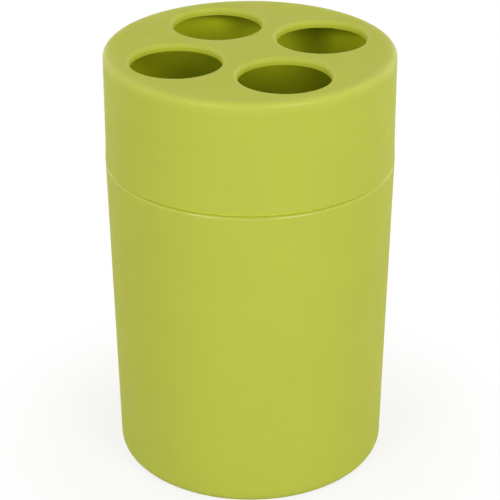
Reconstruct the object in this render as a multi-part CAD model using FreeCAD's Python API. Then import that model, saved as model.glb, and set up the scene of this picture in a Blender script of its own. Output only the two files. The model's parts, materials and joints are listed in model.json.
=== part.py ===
import FreeCAD, Part
import math
import os

# Brush holes in the lid's top. They set how wide the holder has to be.
hole_count = 4
hole_diameter = 23.4
hole_web = 5.45            # plastic left between two neighbouring holes
hole_land = 3.1            # from a hole's edge out to the inside of the skirt
hole_edge = 0.75           # straight wall of a hole, below its rounded lip

# Lid
lid_height = 29.8
lid_wall = 2.3
plate_thickness = 1.9
top_edge_round = 1.5
lid_outer_draft = 0.1      # degrees
lid_inner_draft = 0.3      # degrees
lid_inner_round = 1.2      # where the plate meets the skirt inside
rim_flare = 0.22           # the skirt spreads this much towards its rim
rim_flare_height = 4.0
rim_edge_round = 0.8

# Lap joint: a plug ring under the lid's skirt goes into a rabbet inside the cup's rim
plug_height = 5.0
plug_share = 0.36          # thickness of the plug ring, as a share of the skirt's wall
plug_edge_round = 0.3
lap_clearance = 0.2        # radial gap round the plug
lap_headroom = 0.4         # gap under the plug, so that the lid sits on the cup's rim
rim_overhang = 0.08        # the skirt's rim stands proud of the cup
seat_share = 0.43          # round of the cup's outer rim edge, as a share of the skirt's wall
ledge_round = 0.3          # edge of the rabbet's ledge

# Cup
cup_height = 85.0          # from the table to the rim that the lid sits on
cup_wall = 2.3
cup_draft = 1.24           # degrees
base_round = 3.2
floor_thickness = 2.3
floor_round = 2.0
foot_width = 3.0           # flat ring that the cup stands on
foot_recess = 1.2          # the middle of the underside clears the table
foot_edge_round = 0.5
gate_radius = 1.2          # stub left where the plastic entered the mould
gate_setback = 0.5         # the stub stops this far above the table

# Heights
floor_top = foot_recess + floor_thickness
plug_bottom = cup_height - plug_height
ledge_height = plug_bottom - lap_headroom
lid_top = cup_height + lid_height
plate_bottom = lid_top - plate_thickness
lip_round = plate_thickness - hole_edge

# Lid radii, worked outwards from the holes
pitch_radius = (hole_diameter + hole_web) / 2 / math.sin(math.pi / hole_count)
bore_radius = pitch_radius + hole_diameter / 2 + hole_land
lid_radius = bore_radius + lid_wall
lid_spread = math.tan(math.radians(lid_outer_draft))
flare_radius = lid_radius + lid_spread * (lid_height - rim_flare_height)
rim_radius = lid_radius + lid_spread * lid_height + rim_flare

# Lap radii, worked outwards from the bore of the plug ring
plug_bore_radius = bore_radius + math.tan(math.radians(lid_inner_draft)) * (plate_bottom - plug_bottom)
plug_radius = plug_bore_radius + plug_share * lid_wall
rabbet_radius = plug_radius + lap_clearance
seat_round = seat_share * lid_wall

# Cup radii, worked inwards from the skirt's rim
mouth_radius = rim_radius - rim_overhang
cup_taper = math.tan(math.radians(cup_draft))
base_radius = mouth_radius - cup_taper * cup_height
foot_radius = base_radius - base_round - foot_width

ORIGIN = FreeCAD.Vector(0, 0, 0)
UP = FreeCAD.Vector(0, 0, 1)


def turned(corners):
    """Solid turned about Z from the (radius, height, round) corners of its half section."""
    points = [FreeCAD.Vector(radius, 0, height) for radius, height, _ in corners]
    stretches = []
    for index, (_, _, corner_round) in enumerate(corners):
        corner = points[index]
        back = (points[index - 1] - corner).normalize()
        ahead = (points[(index + 1) % len(points)] - corner).normalize()
        half_angle = back.getAngle(ahead) / 2
        setback = corner_round / math.tan(half_angle)
        depth = corner_round / math.sin(half_angle) - corner_round
        inward = (back + ahead).normalize()
        stretches.append((corner + back * setback, corner + inward * depth, corner + ahead * setback))
    edges = []
    for index, (start, middle, end) in enumerate(stretches):
        if corners[index][2] > 0:
            edges.append(Part.Arc(start, middle, end).toShape())
        next_start = stretches[(index + 1) % len(stretches)][0]
        edges.append(Part.LineSegment(end, next_start).toShape())
    return Part.Face(Part.Wire(edges)).revolve(ORIGIN, UP, 360)


def make_cup():
    """Tapered cup with a recessed foot, and a rabbet inside its rim for the lid's plug ring."""
    floor_radius = mouth_radius - cup_wall - cup_taper * (cup_height - floor_top)
    ledge_radius = mouth_radius - cup_wall - cup_taper * (cup_height - ledge_height)
    return turned([
        (0, gate_setback, 0),
        (gate_radius, gate_setback, 0),
        (gate_radius, foot_recess, 0),
        (foot_radius, foot_recess, foot_edge_round),
        (foot_radius, 0, foot_edge_round),
        (base_radius, 0, base_round),
        (mouth_radius, cup_height, seat_round),
        (rabbet_radius, cup_height, 0),
        (rabbet_radius, ledge_height, 0),
        (ledge_radius, ledge_height, ledge_round),
        (floor_radius, floor_top, floor_round),
        (0, floor_top, 0),
    ])


def make_lid():
    """Deep lid with a plug ring under its skirt and lipped brush holes in its top."""
    flare_blend = rim_flare_height ** 2 / rim_flare / 2
    shell = turned([
        (0, plate_bottom, 0),
        (bore_radius, plate_bottom, lid_inner_round),
        (plug_bore_radius, plug_bottom, plug_edge_round),
        (plug_radius, plug_bottom, plug_edge_round),
        (plug_radius, cup_height, 0),
        (rim_radius, cup_height, rim_edge_round),
        (flare_radius, cup_height + rim_flare_height, flare_blend),
        (lid_radius, lid_top, top_edge_round),
        (0, lid_top, 0),
    ])
    drills = []
    for index in range(hole_count):
        angle = 2 * math.pi * index / hole_count
        centre = FreeCAD.Vector(pitch_radius * math.cos(angle), pitch_radius * math.sin(angle), plate_bottom)
        drills.append(Part.makeCylinder(hole_diameter / 2, plate_thickness, centre, UP))
    drilled = shell.cut(drills)
    lips = [edge for edge in drilled.Edges if is_lip(edge)]
    return drilled.makeFillet(lip_round, lips)


def is_lip(edge):
    """True for the upper edge of a brush hole."""
    if not isinstance(edge.Curve, Part.Circle):
        return False
    same_size = math.isclose(edge.Curve.Radius, hole_diameter / 2, rel_tol=1e-6)
    return same_size and math.isclose(edge.Curve.Center.z, lid_top, rel_tol=1e-6)


os.makedirs("parts", exist_ok=True)
make_cup().exportStep("parts/cup.step")
make_lid().exportStep("parts/lid.step")
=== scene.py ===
import bmesh
import bpy
import json
import math
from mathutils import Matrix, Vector


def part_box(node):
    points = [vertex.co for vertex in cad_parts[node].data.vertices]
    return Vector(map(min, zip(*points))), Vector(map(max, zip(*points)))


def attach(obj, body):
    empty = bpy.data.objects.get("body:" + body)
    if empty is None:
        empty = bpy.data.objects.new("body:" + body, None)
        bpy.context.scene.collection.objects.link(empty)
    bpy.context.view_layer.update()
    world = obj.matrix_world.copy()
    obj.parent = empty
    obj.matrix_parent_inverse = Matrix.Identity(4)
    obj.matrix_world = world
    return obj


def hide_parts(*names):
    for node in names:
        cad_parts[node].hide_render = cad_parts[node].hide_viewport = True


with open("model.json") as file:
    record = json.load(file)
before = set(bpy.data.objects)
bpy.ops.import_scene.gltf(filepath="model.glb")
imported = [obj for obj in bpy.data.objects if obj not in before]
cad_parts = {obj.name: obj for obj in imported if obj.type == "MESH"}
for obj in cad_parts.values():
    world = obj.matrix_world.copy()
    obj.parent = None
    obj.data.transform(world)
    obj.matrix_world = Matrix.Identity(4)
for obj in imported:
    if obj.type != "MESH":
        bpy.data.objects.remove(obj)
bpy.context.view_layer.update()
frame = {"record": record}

# The cup is one injection moulding in polypropylene, coloured right through. Its wall tapers so that it
# leaves the mould, a recess in its underside leaves a flat ring to stand on, and a rabbet inside its rim
# takes the lid's plug ring. The foot is scuffed where it slides about on a shelf.
cup_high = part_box("cup")[1]
plug_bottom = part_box("lid")[0].z
rim_height = cup_high.z
cup_wall = 0.0023
cup_taper = math.tan(math.radians(1.24))
seat_round = 0.00099
seat_width = 0.0003
# The box stops where the round of the rim begins, so the corner of the section lies a little outside it.
mouth_radius = cup_high.x + cup_taper * seat_round
rabbet_radius = mouth_radius - seat_round - seat_width
plug_headroom = 0.0004
ledge_height = plug_bottom - plug_headroom
ledge_radius = mouth_radius - cup_wall - cup_taper * (rim_height - ledge_height)
base_radius = mouth_radius - cup_taper * rim_height
base_round = 0.0032
foot_width = 0.003
foot_radius = base_radius - base_round - foot_width
foot_recess = 0.0012
foot_edge_round = 0.0005
floor_height = foot_recess + cup_wall
floor_radius = mouth_radius - cup_wall - cup_taper * (rim_height - floor_height)
floor_round = 0.002
gate_radius = 0.0012
gate_height = 0.0005
fine_round = 0.0003
round_steps = 8
wall_steps = 240
same_place = 1e-6
crease_angle = math.radians(35)

lime = (0.460, 0.517, 0.061, 1)
# Painted shade: a deeper green for the insides of both pieces.
painted_shade_lime = (0.470, 0.524, 0.008, 1)
# Painted light: a lighter green for the seam and the holes' walls.
painted_light_lime = (0.545, 0.602, 0.046, 1)
# The paler green of scuffs, and of the painted highlight on polished edges.
scuff_and_highlight_lime = (0.570, 0.638, 0.100, 1)
satin = 0.52
plastic_specular = 0.2
foot_scuff = 0.7
shoulder_depth = 0.0012
shoulder_polish_and_highlight = 0.2
shoulder_gloss = 0.4
gloss_roughness = 0.12


def turned(bm, corners, steps, centre=(0, 0, 0)):
    """Turns a half section about an upright axis and rounds it: corners are (radius, height, round)."""
    section = [bm.verts.new((centre[0] + radius, centre[1], height)) for radius, height, _ in corners]
    edges = [bm.edges.new(pair) for pair in zip(section, section[1:])]
    bmesh.ops.spin(bm, geom=section + edges, cent=centre, axis=(0, 0, 1), angle=2 * math.pi, steps=steps,
                   use_merge=True)
    bmesh.ops.remove_doubles(bm, verts=bm.verts, dist=same_place)
    for radius, height, corner_round in corners:
        if corner_round > 0:
            bmesh.ops.bevel(bm, geom=ring_edges(bm, radius, height, centre), offset=corner_round,
                            offset_type="OFFSET", segments=round_steps, profile=0.5, affect="EDGES",
                            material=-1)


def ring_edges(bm, radius, height, centre):
    """The edges of one ring of a turned shape."""
    def on_ring(vert):
        reach = math.hypot(vert.co.x - centre[0], vert.co.y - centre[1])
        return abs(reach - radius) < same_place and abs(vert.co.z - height) < same_place
    return [edge for edge in bm.edges if all(on_ring(vert) for vert in edge.verts)]


def add_node(tree, kind, inputs=None, **settings):
    """Adds a node to a tree: inputs are numbers, colours or the sockets to link, by name or place."""
    node = tree.nodes.new(kind)
    for name, value in settings.items():
        setattr(node, name, value)
    for place, value in (inputs or {}).items():
        if isinstance(value, bpy.types.NodeSocket):
            tree.links.new(value, node.inputs[place])
        else:
            node.inputs[place].default_value = value
    return node


def ramp(tree, value, low, high, start=0.0, end=1.0):
    """Socket that runs smoothly from start to end as value goes from low to high."""
    limits = {"Value": value, "From Min": low, "From Max": high, "To Min": start, "To Max": end}
    return add_node(tree, "ShaderNodeMapRange", limits, interpolation_type="SMOOTHSTEP").outputs["Result"]


def combine(tree, operation, first, second):
    """Socket of one sum, product or comparison of two values."""
    return add_node(tree, "ShaderNodeMath", {0: first, 1: second}, operation=operation).outputs[0]


def band(tree, value, low, high):
    """Mask of the values from low to high, with a soft edge inside each end."""
    return combine(tree, "MULTIPLY", ramp(tree, value, low, low + fine_round),
                   ramp(tree, value, high, high - fine_round))


def noise(tree, place, grain, detail=2.0):
    """Socket of even noise, about 0.5, whose features are grain metres across."""
    wanted = {"Vector": place, "Scale": 1 / grain, "Detail": detail}
    return add_node(tree, "ShaderNodeTexNoise", wanted).outputs["Fac"]


def patchy(tree, place, grain, least, most, detail=2.0):
    """Socket that wanders between two values, in patches grain metres across."""
    noise_low, noise_high = 0.3, 0.7
    return ramp(tree, noise(tree, place, grain, detail), noise_low, noise_high, least, most)


def tinted(tree, mode, factor, under, over):
    """Socket of one colour laid over another, by the sockets that a Mix node keeps for colours."""
    factor_in, under_in, over_in, colour_out = 0, 6, 7, 2
    return add_node(tree, "ShaderNodeMix", {factor_in: factor, under_in: under, over_in: over},
                    data_type="RGBA", blend_type=mode).outputs[colour_out]


# The moulded skin is shared by both pieces: a faint mottle left by the flow of the plastic, an uneven
# satin, the mould's fine spark-eroded grain, edges that handling has polished and that carry a painted
# highlight, and paler scuffs where something has rubbed. Its heights are in units of the grain's depth.
grain_depth = 0.000006
grain_size = 0.0003
fleck_size = 0.0004
fleck_tint = 0.012
flow_size = 0.016
flow_tint = 0.01
peel_size = 0.006
peel_height = 1.6
satin_change = 0.05
polish_smooths = -0.1
# How much polish pales the plastic: a painted highlight.
polish_painted_highlight = 0.38
scratch_size = 0.00035
scratch_turn = (0.3, 0.2, 0.6)
scratch_stretch = (1, 0.12, 1)
scratch_cut = (0.52, 0.66)
scuff_roughens = 0.18
scuff_depth = 0.8
skin = bpy.data.node_groups.new("moulded_skin", "ShaderNodeTree")
for name, kind in (("Plastic", "NodeSocketColor"), ("Pale_scuff_and_highlight", "NodeSocketColor"),
                   ("Satin", "NodeSocketFloat"), ("Polish_and_highlight", "NodeSocketFloat"),
                   ("Scuff", "NodeSocketFloat")):
    skin.interface.new_socket(name, in_out="INPUT", socket_type=kind)
for name, kind in (("Color", "NodeSocketColor"), ("Roughness", "NodeSocketFloat"),
                   ("Height", "NodeSocketFloat")):
    skin.interface.new_socket(name, in_out="OUTPUT", socket_type=kind)
given = add_node(skin, "NodeGroupInput").outputs
place = add_node(skin, "ShaderNodeTexCoord").outputs["Object"]
mottle = patchy(skin, place, flow_size, 1 - flow_tint, 1 + flow_tint)
flecks = patchy(skin, place, fleck_size, 1 - fleck_tint, 1 + fleck_tint, detail=1.0)
plastic = tinted(skin, "MULTIPLY", 1.0, given["Plastic"], combine(skin, "MULTIPLY", mottle, flecks))
streaks = add_node(skin, "ShaderNodeMapping", {"Vector": place, "Rotation": scratch_turn,
                                               "Scale": scratch_stretch}).outputs["Vector"]
scratches = ramp(skin, noise(skin, streaks, scratch_size, detail=3.0), *scratch_cut)
rubbed = combine(skin, "MULTIPLY", scratches, given["Scuff"])
uneven = patchy(skin, place, peel_size, -satin_change, satin_change, detail=4.0)
smoothed = combine(skin, "ADD", uneven, combine(skin, "MULTIPLY", given["Polish_and_highlight"], polish_smooths))
worn = combine(skin, "ADD", smoothed, combine(skin, "MULTIPLY", rubbed, scuff_roughens))
unpolished = combine(skin, "SUBTRACT", 1.0, given["Polish_and_highlight"])
grain = combine(skin, "MULTIPLY", noise(skin, place, grain_size), unpolished)
peel = combine(skin, "MULTIPLY", noise(skin, place, peel_size, detail=1.0), peel_height)
height = combine(skin, "SUBTRACT", combine(skin, "ADD", grain, peel),
                 combine(skin, "MULTIPLY", rubbed, scuff_depth))
# Scuffs pale the plastic, and polish pales it as a painted highlight.
scuffs_and_painted_highlight = combine(skin, "MAXIMUM", rubbed, combine(skin, "MULTIPLY", given["Polish_and_highlight"], polish_painted_highlight))
add_node(skin, "NodeGroupOutput", {"Color": tinted(skin, "MIX", scuffs_and_painted_highlight, plastic, given["Pale_scuff_and_highlight"]),
                                   "Roughness": combine(skin, "ADD", given["Satin"], worn),
                                   "Height": height})


def lime_plastic(name):
    """Starts a lime plastic: returns it, its shader, its skin, and sockets of the place on the piece, the
    reach from its axis and the level above the table."""
    material = bpy.data.materials.new(name)
    material.use_nodes = True
    tree = material.node_tree
    shader = tree.nodes["Principled BSDF"]
    surface = add_node(tree, "ShaderNodeGroup", node_tree=skin)
    surface.inputs["Pale_scuff_and_highlight"].default_value = scuff_and_highlight_lime
    surface.inputs["Satin"].default_value = satin
    bump = add_node(tree, "ShaderNodeBump", {"Height": surface.outputs["Height"], "Distance": grain_depth})
    tree.links.new(surface.outputs["Color"], shader.inputs["Base Color"])
    tree.links.new(surface.outputs["Roughness"], shader.inputs["Roughness"])
    tree.links.new(bump.outputs["Normal"], shader.inputs["Normal"])
    shader.inputs["Specular IOR Level"].default_value = plastic_specular
    shader.inputs["Coat Roughness"].default_value = gloss_roughness
    where = add_node(tree, "ShaderNodeTexCoord").outputs["Object"]
    flat = add_node(tree, "ShaderNodeVectorMath", {0: where, 1: (1, 1, 0)}, operation="MULTIPLY").outputs[0]
    reach = add_node(tree, "ShaderNodeVectorMath", {0: flat}, operation="LENGTH").outputs["Value"]
    level = add_node(tree, "ShaderNodeSeparateXYZ", {0: where}).outputs["Z"]
    return material, shader, surface, where, reach, level


def finished(bm, name, body, material):
    """Makes a closed bmesh into a smooth-shaded piece that rides on a body and stands for its node."""
    bmesh.ops.recalc_face_normals(bm, faces=bm.faces)
    mesh = bpy.data.meshes.new(name)
    bm.to_mesh(mesh)
    bm.free()
    mesh.shade_smooth()
    mesh.set_sharp_from_angle(angle=crease_angle)
    mesh.materials.append(material)
    piece = bpy.data.objects.new(name, mesh)
    bpy.context.scene.collection.objects.link(piece)
    piece.modifiers.new("flat faces stay flat", "WEIGHTED_NORMAL").keep_sharp = True
    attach(piece, body)
    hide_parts(body)


cup_bm = bmesh.new()
turned(cup_bm, [
    (0, gate_height, 0),
    (gate_radius, gate_height, 0),
    (gate_radius, foot_recess, 0),
    (foot_radius, foot_recess, foot_edge_round),
    (foot_radius, 0, foot_edge_round),
    (base_radius, 0, base_round),
    (mouth_radius, rim_height, seat_round),
    (rabbet_radius, rim_height, 0),
    (rabbet_radius, ledge_height, 0),
    (ledge_radius, ledge_height, fine_round),
    (floor_radius, floor_height, floor_round),
    (0, floor_height, 0),
], wall_steps)
cup_plastic, shader, surface, _, reach, level = lime_plastic("cup_plastic")
tree = cup_plastic.node_tree
wall_reach = combine(tree, "SUBTRACT", reach, combine(tree, "MULTIPLY", level, cup_taper))
wall_middle = base_radius - cup_wall / 2
# The inside of the cup is painted a deeper green: painted shade.
painted_shade_inside = combine(tree, "MULTIPLY", ramp(tree, wall_reach, wall_middle, wall_middle - fine_round),
                 ramp(tree, level, foot_recess, floor_height))
# The top of the cup's rim, in the seam under the lid, is painted lighter: painted light.
cup_seam_painted_light = ramp(tree, level, rim_height - fine_round, rim_height)
shaded = tinted(tree, "MIX", painted_shade_inside, lime, painted_shade_lime)
tree.links.new(tinted(tree, "MIX", cup_seam_painted_light, shaded, painted_light_lime), surface.inputs["Plastic"])
tree.links.new(ramp(tree, level, fine_round, 0.0, 0.0, foot_scuff), surface.inputs["Scuff"])
# The cup's rounded shoulder is polished and glossy, and carries a painted highlight.
shoulder = ramp(tree, level, rim_height - shoulder_depth, rim_height - shoulder_depth / 2)
tree.links.new(combine(tree, "MULTIPLY", shoulder, shoulder_polish_and_highlight), surface.inputs["Polish_and_highlight"])
tree.links.new(combine(tree, "MULTIPLY", shoulder, shoulder_gloss), shader.inputs["Coat Weight"])
finished(cup_bm, "cup_moulding", "cup", cup_plastic)

# The lid is the second moulding, in the same plastic. A plug ring under its deep skirt drops into the
# cup's rabbet, the skirt sits on the cup's rim, and the brush holes in its thin top have rounded lips,
# polished by the mould and given a painted highlight, as is the top edge. The holes' walls and the seam
# under the skirt are painted lighter as painted light, and the inside under the top is painted a deeper
# green as painted shade. The plug is a little rubbed from going in and out.
lid_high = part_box("lid")[1]
lid_top = lid_high.z
plate_thickness = 0.0019
plate_bottom = lid_top - plate_thickness
top_edge_round = 0.0015
lid_spread = math.tan(math.radians(0.1))
rim_edge_round = 0.0008
rim_flare = 0.00022
flare_height = 0.004
flare_slope = rim_flare / flare_height + lid_spread
rim_radius = lid_high.x + flare_slope * rim_edge_round
flare_radius = rim_radius - flare_slope * flare_height
lid_radius = flare_radius - lid_spread * (lid_top - rim_height - flare_height)
lid_inner_round = 0.0012
lid_inner_spread = math.tan(math.radians(0.3))
bore_radius = lid_radius - cup_wall
plate_radius = bore_radius - lid_inner_round - fine_round
plug_clearance = 0.0002
plug_radius = rabbet_radius - plug_clearance
plug_bore_radius = bore_radius + lid_inner_spread * (plate_bottom - plug_bottom)
hole_radius = 0.0117
hole_pitch = 0.0204
lip_round = 0.00115
lip_reach = hole_radius + lip_round + fine_round
lip_steps = 96
# How far below the top edge its gloss and its painted highlight reach.
gloss_and_highlight_reach = 0.0036
lip_polish_and_highlight = 0.7
edge_gloss = 0.08
plug_scuff = 0.5

lid_bm = bmesh.new()
turned(lid_bm, [
    (plate_radius, plate_bottom, 0),
    (bore_radius, plate_bottom, lid_inner_round),
    (plug_bore_radius, plug_bottom, fine_round),
    (plug_radius, plug_bottom, fine_round),
    (plug_radius, rim_height, 0),
    (rim_radius, rim_height, rim_edge_round),
    (flare_radius, rim_height + flare_height, flare_height / 2),
    (lid_radius, lid_top, top_edge_round),
    (plate_radius, lid_top, 0),
], wall_steps)
for opening in frame["record"]["physics"]["openings"]:
    if opening["name"].startswith("brush_hole"):
        low, high = (Vector(corner) for corner in opening["box_m"])
        middle = (low + high) / 2
        turned(lid_bm, [
            (lip_reach, lid_top, 0),
            (hole_radius, lid_top, lip_round),
            (hole_radius, plate_bottom, 0),
        ], lip_steps, (middle.x, middle.y, 0))
for plate_height, outward in ((lid_top, 1), (plate_bottom, -1)):
    rims = [edge for edge in lid_bm.edges if edge.is_boundary
            and all(abs(vert.co.z - plate_height) < same_place for vert in edge.verts)]
    bmesh.ops.triangle_fill(lid_bm, edges=rims, use_beauty=True, normal=(0, 0, outward))
lid_plastic, shader, surface, where, reach, level = lime_plastic("lid_plastic")
tree = lid_plastic.node_tree
# The holes lie on the X and Y axes, so the plan folded over both and over the diagonal has one hole.
folded = add_node(tree, "ShaderNodeVectorMath", {0: where}, operation="ABSOLUTE").outputs[0]
sides = add_node(tree, "ShaderNodeSeparateXYZ", {0: folded}).outputs
along = combine(tree, "SUBTRACT", combine(tree, "MAXIMUM", sides["X"], sides["Y"]), hole_pitch)
across = combine(tree, "MINIMUM", sides["X"], sides["Y"])
spot = add_node(tree, "ShaderNodeCombineXYZ", {"X": along, "Y": across}).outputs[0]
from_hole = add_node(tree, "ShaderNodeVectorMath", {0: spot}, operation="LENGTH").outputs["Value"]
# The holes' lips are polished and carry a painted highlight.
lip = combine(tree, "MULTIPLY", ramp(tree, from_hole, lip_reach, hole_radius + lip_round / 2),
              ramp(tree, level, lid_top - lip_round, lid_top - lip_round / 2))
# The holes' walls are painted lighter: painted light.
hole_wall_painted_light = combine(tree, "MULTIPLY", ramp(tree, from_hole, lip_reach, hole_radius + fine_round),
                    band(tree, level, plate_bottom - fine_round, lid_top - lip_round / 2))
# Reach and level add up to the most at the lid's top edge, and to less further from it.
from_edge = combine(tree, "SUBTRACT", lid_radius + lid_top, combine(tree, "ADD", reach, level))
# The top edge is polished and glossy, with a painted highlight that fades down the wall.
edge = ramp(tree, from_edge, gloss_and_highlight_reach, fine_round)
# The inside of the lid, under its top, is painted a deeper green: painted shade.
painted_shade_inside = combine(tree, "MULTIPLY", ramp(tree, reach, plug_radius, plug_radius - fine_round),
                 ramp(tree, level, plate_bottom + fine_round, plate_bottom))
# The seam under the lid's skirt is painted lighter: painted light.
lid_seam_painted_light = band(tree, level, rim_height - fine_round, rim_height + rim_edge_round)
shaded = tinted(tree, "MIX", painted_shade_inside, lime, painted_shade_lime)
tree.links.new(tinted(tree, "MIX", combine(tree, "MAXIMUM", hole_wall_painted_light, lid_seam_painted_light), shaded, painted_light_lime),
               surface.inputs["Plastic"])
tree.links.new(combine(tree, "MAXIMUM", combine(tree, "MULTIPLY", lip, lip_polish_and_highlight), edge),
               surface.inputs["Polish_and_highlight"])
tree.links.new(combine(tree, "MULTIPLY", edge, edge_gloss), shader.inputs["Coat Weight"])
tree.links.new(ramp(tree, level, rim_height, rim_height - fine_round, 0.0, plug_scuff),
               surface.inputs["Scuff"])
finished(lid_bm, "lid_moulding", "lid", lid_plastic)

# The holder stands on a white light table, whose own glow leaves the holder only a faint shadow. Further
# out it fades to the white of the backdrop: close by to the eye, and further off in gloss and glass.
floor_reach = 3.0
floor_steps = 64
table_white = (0.92, 0.92, 0.92, 1)
table_roughness = 0.9
table_glow = 0.8
fade_start = 0.036
fade_end = 0.085
gloss_fade_start = 0.2
gloss_fade_end = 0.4
floor_bm = bmesh.new()
bmesh.ops.create_circle(floor_bm, cap_ends=True, segments=floor_steps, radius=floor_reach)
floor_mesh = bpy.data.meshes.new("floor")
floor_bm.to_mesh(floor_mesh)
floor_bm.free()
floor = bpy.data.objects.new("floor", floor_mesh)
bpy.context.scene.collection.objects.link(floor)
light_table = bpy.data.materials.new("light_table")
light_table.use_nodes = True
tree = light_table.node_tree
shader = tree.nodes["Principled BSDF"]
shader.inputs["Base Color"].default_value = table_white
shader.inputs["Roughness"].default_value = table_roughness
where = add_node(tree, "ShaderNodeTexCoord").outputs["Object"]
reach = add_node(tree, "ShaderNodeVectorMath", {0: where}, operation="LENGTH").outputs["Value"]
path = add_node(tree, "ShaderNodeLightPath").outputs
to_eye = combine(tree, "MULTIPLY", ramp(tree, reach, fade_start, fade_end, table_glow),
                 path["Is Camera Ray"])
in_gloss = combine(tree, "MULTIPLY", ramp(tree, reach, gloss_fade_start, gloss_fade_end),
                   combine(tree, "MAXIMUM", path["Is Glossy Ray"], path["Is Transmission Ray"]))
faded = combine(tree, "MAXIMUM", to_eye, in_gloss)
glow = add_node(tree, "ShaderNodeEmission", {"Strength": 1.0}).outputs[0]
mixed = add_node(tree, "ShaderNodeMixShader", {0: faded, 1: shader.outputs[0], 2: glow}).outputs[0]
tree.links.new(mixed, tree.nodes["Material Output"].inputs["Surface"])
floor_mesh.materials.append(light_table)

# The backdrop is a white studio wall all round. It is white to the eye and in gloss and glass, and it
# gives only a little of the light.
fill_strength = 0.02
world = bpy.data.worlds.new("studio")
world.use_nodes = True
tree = world.node_tree
backdrop = tree.nodes["Background"].inputs
backdrop["Color"].default_value = (1, 1, 1, 1)
path = add_node(tree, "ShaderNodeLightPath").outputs
shown = combine(tree, "MAXIMUM", path["Is Camera Ray"],
                combine(tree, "MAXIMUM", path["Is Glossy Ray"], path["Is Transmission Ray"]))
tree.links.new(ramp(tree, shown, 0.0, 1.0, fill_strength, 1.0), backdrop["Strength"])
bpy.context.scene.world = world

# Two white softboxes flank the camera at about its angle. The other lamps are warmer: two at the sides,
# two low behind and three high up. Each is given by its turn from the camera and its rise above the
# table, in degrees, its width in metres and its power in watts.
camera_turn = math.radians(-24.73)
lamp_distance = 1.0
lit_middle = Vector((0, 0, 0.06))
white_light = (1, 1, 1)
warm_light = (1, 0.88, 0.66)
for name, turn, rise, width, watts, colour in (
    ("key_left", -36, 29, 0.4, 3.6, white_light),
    ("key_right", 34, 27, 0.4, 4.75, white_light),
    ("side_left", -95, 25, 0.8, 1.4, warm_light),
    ("side_right", 95, 25, 0.8, 1.25, warm_light),
    ("back_left", -140, 20, 0.8, 1.9, warm_light),
    ("back_right", 140, 20, 0.8, 1.9, warm_light),
    ("high_left", -105, 50, 0.7, 1.5, warm_light),
    ("high_right", 105, 50, 0.7, 2.0, warm_light),
    ("overhead", 0, 85, 0.5, 0.5, warm_light),
):
    azimuth = camera_turn + math.radians(turn)
    lift = math.radians(rise)
    way = Vector((math.sin(azimuth) * math.cos(lift), -math.cos(azimuth) * math.cos(lift), math.sin(lift)))
    lamp_data = bpy.data.lights.new(name, "AREA")
    lamp_data.shape = "SQUARE"
    lamp_data.size = width
    lamp_data.energy = watts
    lamp_data.color = colour
    lamp = bpy.data.objects.new(name, lamp_data)
    lamp.location = lit_middle + way * lamp_distance
    lamp.rotation_euler = way.to_track_quat("Z", "Y").to_euler()
    bpy.context.scene.collection.objects.link(lamp)

# The camera looks down at the holder from its front left, through a long lens. Its place was fitted to
# the holder's outline, its seam and its holes.
camera_reach = 0.45949
camera_height = 0.28769
camera_dip = math.radians(26.626)
camera_roll = math.radians(-0.1)
camera_data = bpy.data.cameras.new("camera")
camera_data.lens = 138.13
camera_data.sensor_width = 36
camera_data.shift_x = -0.0006
camera = bpy.data.objects.new("camera", camera_data)
camera.location = (camera_reach * math.sin(camera_turn), -camera_reach * math.cos(camera_turn),
                   camera_height)
camera.rotation_euler = (math.pi / 2 - camera_dip, 0, camera_turn)
camera.rotation_euler.rotate_axis("Z", camera_roll)
bpy.context.scene.collection.objects.link(camera)
bpy.context.scene.camera = camera
bpy.context.scene.view_settings.view_transform = "Standard"
